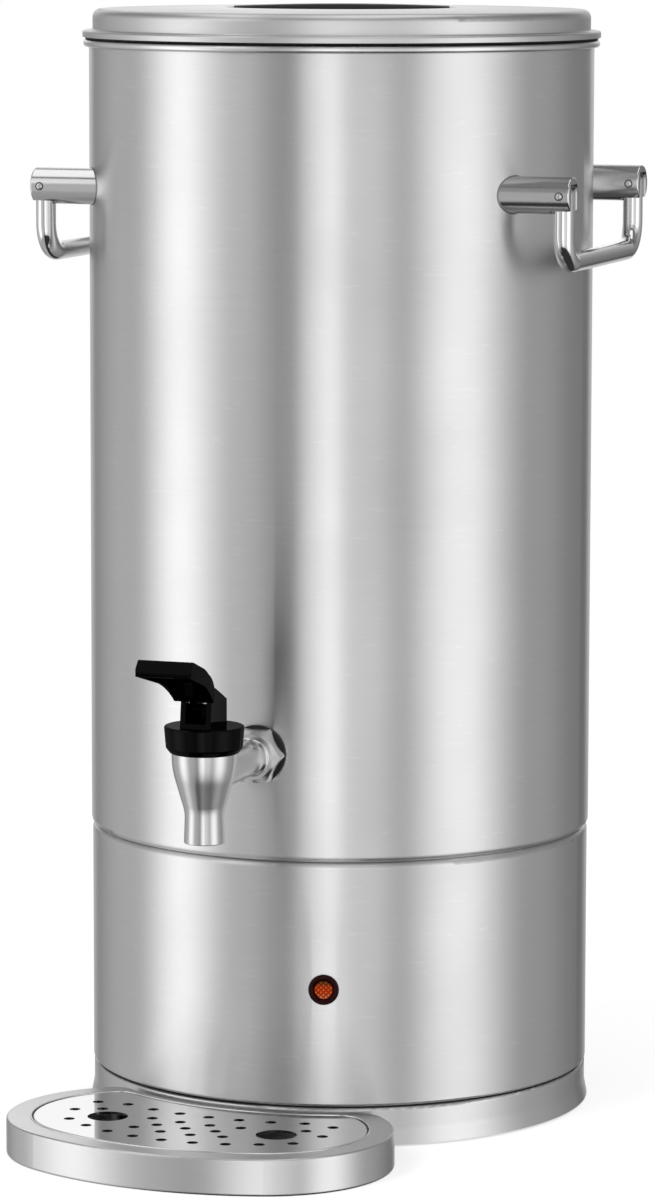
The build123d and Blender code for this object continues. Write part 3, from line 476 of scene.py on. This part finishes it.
def makeFloor():
    # white far away, with the object's soft shadow close by
    made, tree, shader = startMaterial("paleFloor")
    shader.inputs["Base Color"].default_value = tint(floorSettings["diffuse"])
    shader.inputs["Roughness"].default_value = floorSettings["rough"]
    shader.inputs["Specular IOR Level"].default_value = 0.0
    seen = seenRays(tree)
    glow = calc(tree, "MULTIPLY", seen, floorSettings["glow"])
    near = addNode(tree, "ShaderNodeEmission", {"Strength": glow})
    both = addNode(tree, "ShaderNodeAddShader", {0: shader.outputs[0], 1: near.outputs[0]})
    far = addNode(tree, "ShaderNodeEmission", {"Strength": seen})
    place = addNode(tree, "ShaderNodeTexCoord").outputs["Object"]
    away = addNode(tree, "ShaderNodeVectorMath", {0: place}, operation="LENGTH").outputs["Value"]
    fade = remap(tree, away, floorSettings["nearFade"], floorSettings["farFade"], smooth=True)
    mixed = addNode(tree, "ShaderNodeMixShader", {0: fade, 1: both.outputs[0], 2: far.outputs[0]})
    tree.links.new(mixed.outputs[0], tree.nodes["Material Output"].inputs["Surface"])
    shape = bmesh.new()
    sides, radius = floorSettings["sides"], floorSettings["radius"]
    bmesh.ops.create_circle(shape, cap_ends=True, segments=sides, radius=radius)
    floor = toObject(shape, "floor", made)
    floor.visible_glossy = False


worldSettings = {"white": 1.0, "diffuse": 0.62}


def makeWorld():
    world = bpy.data.worlds.new("studio")
    scene.world = world
    world.use_nodes = True
    tree = world.node_tree
    backdrop = tree.nodes["Background"]
    backdrop.inputs["Color"].default_value = (1, 1, 1, 1)
    strength = remap(tree, seenRays(tree), 0.0, 1.0, worldSettings["diffuse"], worldSettings["white"])
    tree.links.new(strength, backdrop.inputs["Strength"])


studioLamps = {
    "keyLamp": {"place": (-1.3, -2.2, 2.5), "size": 1.6, "power": 42},
    "fillLamp": {"place": (2.4, -1.3, 1.6), "size": 1.8, "power": 16},
    "backLamp": {"place": (0.5, 2.4, 2.2), "size": 1.6, "power": 16},
}
lampAim = (0, -0.05, 0.25)


def makeLamps():
    aim = Vector(lampAim)
    for name, chosen in studioLamps.items():
        data = bpy.data.lights.new(name, "AREA")
        data.shape = "SQUARE"
        data.size = chosen["size"]
        data.energy = chosen["power"]
        body = bpy.data.objects.new(name, data)
        body.location = chosen["place"]
        body.rotation_euler = (aim - Vector(chosen["place"])).to_track_quat("-Z", "Y").to_euler()
        body.visible_glossy = False
        scene.collection.objects.link(body)


makeRing()
makeFloor()
makeWorld()
makeLamps()
print("studio: ready")

roundAxis = (40, 40, 900)  # scratches that run round the axis
# metal: tone, roughness, grain, contrast, dashes, handling and anisotropic
# moulded: tone, roughness, speckle, size of the grain, bump, coat and specular
finishes = {
    "casingSteel": metal("casingSteel", 0.62, 0.33, roundAxis, 0.10, 0.06, 0.02, 0.9),
    "baseSteel": metal("baseSteel", 0.62, 0.34, roundAxis, 0.10, 0.06, 0.02, 0.9),
    "plinthSteel": metal("plinthSteel", 0.62, 0.34, roundAxis, 0.08, 0.04, 0.02, 0.7),
    # the lid's top is painted brighter than its sides: a painted highlight
    "lidSteel": metal(
        "lidSteel", 0.58, 0.38, (60, 60, 700), 0.05, 0.02, 0.02, bump=0.03, crown=(0.6115, 0.6138, 0.92)
    ),
    "tankSteel": metal("tankSteel", 0.66, 0.30, (30, 30, 300), 0.05, 0.0, 0.02, 0.3, bump=0.01),
    "skirtSteel": metal("skirtSteel", 0.60, 0.28, (30, 30, 300), 0.05, 0.0, 0.02, 0.3, bump=0.01),
    "postSteel": metal("postSteel", 0.60, 0.17, (60, 700, 700), 0.14, 0.10, 0.03, 0.5, "X", 0.0),
    "bailSteel": metal("bailSteel", 0.70, 0.09, (200, 40, 200), 0.05, 0.02, 0.03),
    "pinSteel": metal("pinSteel", 0.60, 0.20, (400, 100, 400), 0.06, 0.0, 0.02),
    "tapSteel": metal("tapSteel", 0.57, 0.24, (60, 60, 900), 0.08, 0.04, 0.02, 0.6, bump=0.02),
    # a brighter copy of the tray's steel: a painted highlight along the recess's edge
    "beadHighlightSteel": metal("beadHighlightSteel", 0.74, 0.20, (200, 200, 200), 0.04, 0.0, 0.02),
    "traySteel": metal("traySteel", 0.61, 0.34, roundAxis, 0.08, 0.04, 0.02, 0.5),
    "gridSteel": metal("gridSteel", 0.64, 0.06, (60, 60, 60), 0.04, 0.0, 0.02),
    "springSteel": metal("springSteel", 0.58, 0.22, (200, 200, 200), 0.05, 0.0, 0.02),
    # the weld's dark tone is painted shade: the contact shadow where the posts meet the casing
    "weldShadeSteel": metal("weldShadeSteel", 0.20, 0.38, (300, 300, 300), 0.35, 0.05, 0.08),
    "elementSteel": metal("elementSteel", (0.46, 0.44, 0.41), 0.34, (90, 90, 90), 0.25, 0.05, 0.06),
    "zincSteel": metal("zincSteel", (0.60, 0.61, 0.62), 0.42, (120, 120, 120), 0.25, 0.08, 0.08),
    "nutBrass": metal("nutBrass", (0.72, 0.56, 0.30), 0.30, (150, 150, 150), 0.12, 0.03, 0.05),
    "bonnetPlastic": moulded("bonnetPlastic", 0.0012, 0.07, 0.10, 500, 0.02, 0.14, 0.0),
    "leverPlastic": moulded("leverPlastic", 0.0012, 0.10, 0.15, 1200, 0.04, 0.07, 0.0),
    "stemPlastic": moulded("stemPlastic", 0.0012, 0.30, 0.15, 900, 0.05, 0.05, 0.0),
    "gripPlastic": moulded("gripPlastic", 0.010, 0.34, 0.2, 1200, 0.15, 0.0, 0.35),
    "glandPlastic": moulded("glandPlastic", 0.016, 0.42, 0.2, 1400, 0.2),
    "switchPlastic": moulded("switchPlastic", 0.014, 0.36, 0.2, 1400, 0.15),
    "rockerPlastic": moulded("rockerPlastic", 0.018, 0.26, 0.15, 900, 0.08),
    "markPaint": moulded("markPaint", 0.72, 0.45, 0.1, 900, 0.05),
    # painted shade: a near-black ring standing in for the shadow round each pin head
    "paintedGapShade": moulded("paintedGapShade", 0.006, 0.55, 0.2, 900, 0.1, 0.0, 0.15),
    "sealRubber": moulded("sealRubber", 0.010, 0.62, 0.3, 1500, 0.3, 0.0, 0.25),
    "footRubber": moulded("footRubber", 0.026, 0.75, 0.35, 1500, 0.4, 0.0, 0.3),
    "silicone": moulded("silicone", (0.66, 0.62, 0.56), 0.5, 0.08, 700, 0.15, 0.0, 0.4),
    "insulationFelt": moulded("insulationFelt", (0.62, 0.60, 0.54), 0.95, 0.5, 500, 0.9, 0.0, 0.1),
    "terminalPlastic": moulded("terminalPlastic", (0.72, 0.71, 0.67), 0.5, 0.1, 900, 0.1),
    "phenolic": moulded("phenolic", (0.05, 0.035, 0.028), 0.45, 0.3, 900, 0.2),
    "lampMaroon": moulded("lampMaroon", (0.020, 0.0018, 0.0020), 0.07, 0.2, 700, 0.02, 0.0, 0.07),
}


lampTones = {
    "foot": (0.66, 0.17, 0.07, 1),
    "heart": (0.60, 0.075, 0.010, 1),
    "crown": (0.17, 0.055, 0.008, 1),
    "heights": (0.0826, 0.0862, 0.0885, 0.0918),  # metres: foot to heart, then shoulder to top; the lens is painted lighter at its foot and darker at its top, painted light and shade
    "glow": 0.12,
    "rough": 0.12,
    "speckle": 0.3,
    "bump": 0.05,
    "coat": 0.6,
    "facing": 15.0,  # degrees round from the tap
    # reach of the grooves and of the peaks in metres, and how dark and bright they are painted: painted
    # shade in the grooves, painted highlights on the peaks
    "relief": (0.1399, 0.1413, 0.40, 1.75),
}


def lampGlass():
    made, tree, shader = startMaterial("lampGlass")
    place = addNode(tree, "ShaderNodeTexCoord").outputs["Object"]
    height = addNode(tree, "ShaderNodeSeparateXYZ", {0: place}).outputs["Z"]
    foot, heart, shoulder, crown = lampTones["heights"]
    # painted light and shade: the lens is painted lighter at its foot and darker towards its top
    tone = lampTones["foot"]
    for low, high, nextTone in ((foot, heart, lampTones["heart"]), (shoulder, crown, lampTones["crown"])):
        rise = remap(tree, height, low, high, smooth=True)
        tone = addNode(tree, "ShaderNodeMix", {0: rise, 6: tone, 7: nextTone}, data_type="RGBA").outputs[2]
    facing = math.radians(lampTones["facing"])
    outwards = (math.sin(facing), -math.cos(facing), 0)
    across = addNode(tree, "ShaderNodeVectorMath", {0: place, 1: outwards}, operation="DOT_PRODUCT")
    # painted shade in the grooves and painted highlights on the peaks, by how far each point stands out
    tone = shade(tree, tone, remap(tree, across.outputs["Value"], *lampTones["relief"]))
    given = {
        "Vector": place,
        "Tone": tone,
        "Roughness": lampTones["rough"],
        "Speckle": lampTones["speckle"],
    }
    effect = addNode(tree, "ShaderNodeGroup", given, node_tree=mouldedGrain)
    finishInto(tree, shader, effect, lampTones["bump"], surface["mouldedDepth"])
    # the lens glows faintly in this painted colour, so the glow carries the painted light and shade too
    tree.links.new(effect.outputs["Color"], shader.inputs["Emission Color"])
    shader.inputs["Emission Strength"].default_value = lampTones["glow"]
    shader.inputs["Coat Weight"].default_value = lampTones["coat"]
    return made


finishes["lampGlass"] = lampGlass()

posts = ["right_front_post", "right_rear_post", "left_front_post", "left_rear_post"]
wornBy = {
    "casingSteel": ["outer_casing"],
    "baseSteel": ["base_casing"],
    "plinthSteel": ["plinth_ring"],
    "lidSteel": ["lid_shell"],
    "tankSteel": ["inner_tank"],
    "skirtSteel": ["lid_skirt"],
    "postSteel": posts,
    "bailSteel": ["right_bail", "left_bail"],
    "pinSteel": [
        "right_bail_pins", "left_bail_pins", "lever_pin", "casing_screws", "base_screws", "grip_screws"
    ],
    "tapSteel": ["tap_body"],
    "traySteel": ["drip_tray"],
    "gridSteel": ["drip_grid"],
    "springSteel": ["valve_spring"],
    "elementSteel": ["heating_element"],
    "zincSteel": ["base_plate", "element_nuts", "boil_thermostat"],
    "nutBrass": ["tap_lock_nut"],
    "bonnetPlastic": ["tap_bonnet"],
    "leverPlastic": ["tap_lever"],
    "stemPlastic": ["valve_stem"],
    "gripPlastic": ["lid_grip"],
    "glandPlastic": ["cable_gland", "gland_nut", "lamp_nut"],
    "switchPlastic": ["switch_housing"],
    "rockerPlastic": ["switch_rocker"],
    "sealRubber": ["plinth_seal", "tap_flange_seal", "lid_seal", "bonnet_gasket"],
    "footRubber": ["foot_ring"],
    "silicone": ["tap_inner_seal", "seat_cup"],
    "insulationFelt": ["insulation_sleeve"],
    "terminalPlastic": ["terminal_block"],
    "phenolic": ["thermal_cutout"],
    "lampMaroon": ["lamp_bezel"],
    "lampGlass": ["lamp_lens"],
}


def dress():
    bare = set(nodes)
    for finish, names in wornBy.items():
        for name in names:
            data = nodes[name].data
            data.materials.clear()
            data.materials.append(finishes[finish])
            bare.discard(name)
    print("finishes: all nodes dressed" if not bare else f"finishes: bare {sorted(bare)}")


dress()


def middle(name):
    low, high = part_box(name)
    return [(a + b) / 2 for a, b in zip(low, high)]


def aimed(place, outwards, up=(0, 0, 1)):
    # turns a piece made along +Z so that its +Z points outwards, with its +Y upwards
    facing = Vector(outwards).normalized()
    across = Vector(up).cross(facing).normalized()
    turned = Matrix((across, facing.cross(across), facing)).transposed().to_4x4()
    return Matrix.Translation(place) @ turned


nearest = 1e-6  # metres; points closer than this are one point


def everything(shape):
    return shape.verts[:] + shape.edges[:] + shape.faces[:]


def spun(shape, profile, steps):
    # profile is a closed outline of radius and height in mm
    made = [shape.verts.new((radius * mm, 0, height * mm)) for radius, height in profile]
    edges = [shape.edges.new(pair) for pair in zip(made, made[1:] + made[:1])]
    fullSpin(shape, made + edges, (0, 0, 1), steps)
    bmesh.ops.remove_doubles(shape, verts=shape.verts, dist=nearest)
    bmesh.ops.recalc_face_normals(shape, faces=shape.faces)


def settle(shape, matrix, name, finish, body, sharp=35.0):
    bmesh.ops.transform(shape, matrix=matrix, verts=shape.verts)
    piece = toObject(shape, name, finishes[finish], sharp=sharp)
    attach(piece, body)
    return piece


lamp = {
    "reach": 139.4,  # the casing's surface, from the axis
    "collar": [(4.95, -3), (4.95, 0.7), (6.1, 1.7), (6.7, 2.15), (7.4, 2.15), (8.1, 1.5), (8.35, 0.3),
               (8.35, -0.5), (6.1, -0.5), (6.1, -3)],
    "collarSteps": 64,
    "jewelRadius": 4.85,
    "jewelSides": 28,
    "jewelFace": 0.5,  # how far the grooves stand out of the casing
    "pitch": 1.9,
    "count": 9,  # pyramids across the slab
    "facet": 1.5,
    "depth": 3.0,
}


def lampPlace():
    x, y, z = middle("lamp_lens")
    facing = Vector((x, y, 0)).normalized()
    return aimed(facing * lamp["reach"] * mm + Vector((0, 0, z)), facing)


def makeLampCollar():
    shape = bmesh.new()
    spun(shape, lamp["collar"], lamp["collarSteps"])
    collar = settle(shape, lampPlace(), "lampCollar", "lampMaroon", "urn_body", 50)
    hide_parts("lamp_bezel")


def makeLampJewel():
    # a slab of small pyramids, cut round and closed behind
    shape = bmesh.new()
    count = lamp["count"]
    size = lamp["pitch"] * count / 2 * mm
    bmesh.ops.create_grid(shape, x_segments=count, y_segments=count, size=size)
    bmesh.ops.poke(shape, faces=shape.faces, offset=lamp["facet"] * mm)
    bmesh.ops.rotate(shape, verts=shape.verts, matrix=Matrix.Rotation(math.radians(45), 3, "Z"))
    for i in range(lamp["jewelSides"]):
        turn = 2 * math.pi * i / lamp["jewelSides"]
        out = Vector((math.cos(turn), math.sin(turn), 0))
        edge = out * lamp["jewelRadius"] * mm
        bmesh.ops.bisect_plane(
            shape, geom=everything(shape), plane_co=edge, plane_no=out, clear_outer=True
        )
    rim = [edge for edge in shape.edges if edge.is_boundary]
    wall = bmesh.ops.extrude_edge_only(shape, edges=rim)["geom"]
    for item in wall:
        if isinstance(item, bmesh.types.BMVert):
            item.co.z = -lamp["depth"] * mm
    bmesh.ops.holes_fill(shape, edges=[edge for edge in shape.edges if edge.is_boundary], sides=0)
    bmesh.ops.recalc_face_normals(shape, faces=shape.faces)
    bmesh.ops.translate(shape, verts=shape.verts, vec=(0, 0, lamp["jewelFace"] * mm))
    jewel = settle(shape, lampPlace(), "lampJewel", "lampGlass", "urn_body", 20)
    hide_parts("lamp_lens")


pinHead = {
    "proud": 0.15,  # how far the pin's own end stands out of the post
    "head": [(0, 0.42), (1.1, 0.42), (1.25, 0.36), (1.85, -0.12), (1.85, -0.6), (0, -0.6)],
    "gap": [(1.8, 0.10), (2.3, -0.02), (2.3, -0.6), (1.8, -0.6)],
    "steps": 32,
}


def titleOf(post, ending):
    # right_front_post and Weld give rightFrontWeld
    side, end = post.split("_")[:2]
    return side + end.title() + ending


def makePinHeads():
    # a bevelled head in a dark ring at both ends of every hinge pin; the dark ring is painted shade in the
    # gap round the head
    for name in posts:
        low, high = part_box(name)
        height = middle(name)[2]
        x = middle(name.split("_")[0] + "_bail_pins")[0]
        for label, ending, finish, slot in (
            ("head", "PinHeads", "pinSteel", "pin_steel"),
            ("gap", "PinShadeRings", "paintedGapShade", "black_plastic"),
        ):
            both = bmesh.new()
            for side, end in ((-1, low[1]), (1, high[1])):
                one = bmesh.new()
                spun(one, pinHead[label], pinHead["steps"])
                matrix = aimed((x, end + side * pinHead["proud"] * mm, height), (0, side, 0))
                bmesh.ops.transform(one, matrix=matrix, verts=one.verts)
                mesh = bpy.data.meshes.new("pinEnd")
                one.to_mesh(mesh)
                one.free()
                both.from_mesh(mesh)
                bpy.data.meshes.remove(mesh)
            settle(both, Matrix(), titleOf(name, ending), finish, "urn_body", 40)


# the bead's own radius, the circle it runs on and the casing's radius, in mm
weld = {"radius": 0.5, "stand": 10.0, "casing": 140.0, "sides": 10, "steps": 72}


def makeWelds():
    # a thin bead where each post meets the casing, bent to the casing's curve; its dark tone is painted
    # shade along the joint
    for name in posts:
        x, y, z = middle(name)
        side = 1 if x > 0 else -1
        shape = bmesh.new()
        radius = weld["radius"] * mm
        circle = bmesh.ops.create_circle(shape, segments=weld["sides"], radius=radius)["verts"]
        bmesh.ops.rotate(shape, verts=circle, matrix=Matrix.Rotation(math.radians(90), 3, "Z"))
        bmesh.ops.translate(shape, verts=circle, vec=(0, weld["stand"] * mm, 0))
        fullSpin(shape, everything(shape), (1, 0, 0), weld["steps"])
        bmesh.ops.remove_doubles(shape, verts=shape.verts, dist=nearest)
        for vert in shape.verts:
            reach = math.sqrt((weld["casing"] * mm) ** 2 - (y + vert.co.y) ** 2)
            vert.co.x += side * reach
        bmesh.ops.recalc_face_normals(shape, faces=shape.faces)
        title = titleOf(name, "Weld")
        settle(shape, Matrix.Translation((0, y, z)), title, "weldShadeSteel", "urn_body", 60)


tapSeal = {
    # radius and place, out from the casing, of the ring squeezed behind the tap's collar
    "profile": [(9.6, -0.4), (15.0, -0.4), (15.6, 0.3), (15.8, 1.2), (15.4, 2.1), (14.6, 2.3), (9.6, 2.3)],
    "casing": 140.0,
    "steps": 64,
}


def makeTapSeal():
    x, y, z = middle("tap_flange_seal")
    shape = bmesh.new()
    spun(shape, tapSeal["profile"], tapSeal["steps"])
    place = aimed((x, -tapSeal["casing"] * mm, z), (0, -1, 0))
    seal = settle(shape, place, "tapSeal", "sealRubber", "urn_body", 40)
    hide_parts("tap_flange_seal")


lipBead = {
    # reach, height and radius in mm of the two corners of the tank's rolled lip
    "upper": (141.0, 593.2, 2.0),
    "lower": (141.2, 592.8, 1.8),
    "skin": (0.03, -0.35),  # the bead's outer and inner side, out from the lip
    "sweep": 88,  # degrees of each corner that it covers
    "parts": 6,  # straight pieces along each corner
    "steps": 256,
}


def cornerLine(corner, skin, start, stop):
    reach, height, radius = corner
    radius += skin
    parts = lipBead["parts"]
    turns = [math.radians(start + (stop - start) * i / parts) for i in range(parts + 1)]
    return [(reach + radius * math.cos(turn), height + radius * math.sin(turn)) for turn in turns]


def makeLipBead():
    # a thin bright skin over the tank's rolled lip
    sweep = lipBead["sweep"]
    sides = []
    for skin in lipBead["skin"]:
        upper = cornerLine(lipBead["upper"], skin, sweep, 0)
        lower = cornerLine(lipBead["lower"], skin, 0, -sweep)
        sides.append(upper + lower)
    outer, inner = sides
    shape = bmesh.new()
    spun(shape, outer + inner[::-1], lipBead["steps"])
    settle(shape, Matrix(), "lipBead", "tankSteel", "urn_body", 60)


trayBead = {
    "cut": 19.0,  # height in mm where the tray is cut to find the outline of its recess
    "height": 19.95,
    "radius": 0.5,
    "outwards": 0.55,  # from the recess's wall to the bead's middle
    "roundness": 2,
}


def wayRound(shape):
    # the separate loops of edges, each as its points in order
    loops = []
    left = {vert: True for vert in shape.verts}
    while left:
        line = [next(iter(left))]
        left.pop(line[0])
        while True:
            near = [edge.other_vert(line[-1]) for edge in line[-1].link_edges]
            near = [vert for vert in near if vert in left]
            if not near:
                break
            line.append(near[0])
            left.pop(near[0])
        loops.append([vert.co.xy.copy() for vert in line])
    return loops


def pushedOut(loop, distance):
    before, after = loop[-1:] + loop[:-1], loop[1:] + loop[:1]
    hand = 1 if sum(a.cross(b) for a, b in zip(loop, after)) > 0 else -1
    moved = []
    for last, place, following in zip(before, loop, after):
        along = (following - last).normalized()
        moved.append(place + Vector((along.y, -along.x)) * hand * distance)
    return moved


def tubeAlong(loop):
    path = bpy.data.curves.new("trayBeadPath", "CURVE")
    path.dimensions = "3D"
    path.bevel_depth = trayBead["radius"] * mm
    path.bevel_resolution = trayBead["roundness"]
    spline = path.splines.new("POLY")
    spline.points.add(len(loop) - 1)
    for point, place in zip(spline.points, loop):
        point.co = (place.x, place.y, trayBead["height"] * mm, 1)
    spline.use_cyclic_u = True
    helper = bpy.data.objects.new("trayBeadPath", path)
    tube = bpy.data.meshes.new_from_object(helper)
    shape = bmesh.new()
    shape.from_mesh(tube)
    bmesh.ops.remove_doubles(shape, verts=shape.verts, dist=nearest)
    bmesh.ops.recalc_face_normals(shape, faces=shape.faces)
    bpy.data.objects.remove(helper)
    bpy.data.curves.remove(path)
    bpy.data.meshes.remove(tube)
    return shape


def makeTrayBead():
    # a round bead along the wall of the tray's recess, whose outline is cut from the tray itself; its
    # steel is brighter than the tray's, a painted highlight along the edge
    shape = bmesh.new()
    shape.from_mesh(nodes["drip_tray"].data)
    bmesh.ops.remove_doubles(shape, verts=shape.verts, dist=nearest)
    level = (0, 0, trayBead["cut"] * mm)
    every = everything(shape)
    bmesh.ops.bisect_plane(
        shape, geom=every, plane_co=level, plane_no=(0, 0, 1), clear_outer=True, clear_inner=True
    )
    # the recess is the narrowest of the loops
    loops = wayRound(shape)
    recess = min(loops, key=lambda line: max(point.x for point in line) - min(point.x for point in line))
    shape.free()
    tube = tubeAlong(pushedOut(recess, trayBead["outwards"] * mm))
    settle(tube, Matrix(), "trayBead", "beadHighlightSteel", "tray", 60)


gland = {
    "ribs": 16,
    "rib": (0.9, 0.7, 7.0),  # width, depth and length
    "ribReach": 8.9,
    "ribPlace": 12.0,  # middle of a rib, out from the casing
    "bush": [(4.15, 0), (4.15, 3.0), (3.6, 3.2), (3.0, 2.6), (3.0, 0)],
    "bushPlace": 14.6,
    "bushSteps": 40,
    "round": 0.2,  # bevel of a rib's edges
    "casing": 139.4,
}


def glandPlace(out):
    x, y, z = middle("cable_gland")
    return aimed((x, (gland["casing"] + out) * mm, z), (0, 1, 0))


def makeGland():
    shape = bmesh.new()
    width, depth, length = gland["rib"]
    for i in range(gland["ribs"]):
        made = bmesh.ops.create_cube(shape, size=mm)["verts"]
        bmesh.ops.scale(shape, verts=made, vec=(depth * 2, width, length))
        bmesh.ops.translate(shape, verts=made, vec=(gland["ribReach"] * mm, 0, 0))
        turn = Matrix.Rotation(2 * math.pi * i / gland["ribs"], 3, "Z")
        bmesh.ops.rotate(shape, verts=made, matrix=turn)
    bevel = gland["round"] * mm
    bmesh.ops.bevel(
        shape, geom=shape.edges[:], offset=bevel, segments=2, profile=0.5, affect="EDGES", material=-1
    )
    settle(shape, glandPlace(gland["ribPlace"]), "glandRibs", "glandPlastic", "urn_body")
    shape = bmesh.new()
    spun(shape, gland["bush"], gland["bushSteps"])
    settle(shape, glandPlace(gland["bushPlace"]), "glandBush", "sealRubber", "urn_body", 40)


marks = {
    # reach behind the axis and height in metres, and the lean of the face in degrees
    "on": {"place": (0.1415, 0.0981), "lean": 2.3},
    "off": {"place": (0.1430, 0.0872), "lean": 13.7},
    "thick": 0.12,  # half the thickness in mm
    "stroke": (0.55, 3.2),
    "circle": (1.35, 1.85),
    "steps": 40,
}


def makeMarks():
    # a line for on and a circle for off, inlaid in the rocker
    thick = marks["thick"]
    for name, mark in (("markOn", marks["on"]), ("markOff", marks["off"])):
        shape = bmesh.new()
        if name == "markOn":
            made = bmesh.ops.create_cube(shape, size=mm)["verts"]
            wide, tall = marks["stroke"]
            bmesh.ops.scale(shape, verts=made, vec=(wide, tall, thick * 2))
        else:
            inner, outer = marks["circle"]
            outline = [(inner, -thick), (inner, thick), (outer, thick), (outer, -thick)]
            spun(shape, outline, marks["steps"])
        reach, height = mark["place"]
        lean = math.radians(mark["lean"])
        place = aimed((0, reach, height), (0, math.cos(lean), math.sin(lean)))
        settle(shape, place, name, "markPaint", "rocker")


makeLampCollar()
makeLampJewel()
makePinHeads()
makeWelds()
makeTapSeal()
makeLipBead()
makeTrayBead()
makeGland()
makeMarks()
print("pieces: lamp, pins, welds, beads, gland and switch marks")
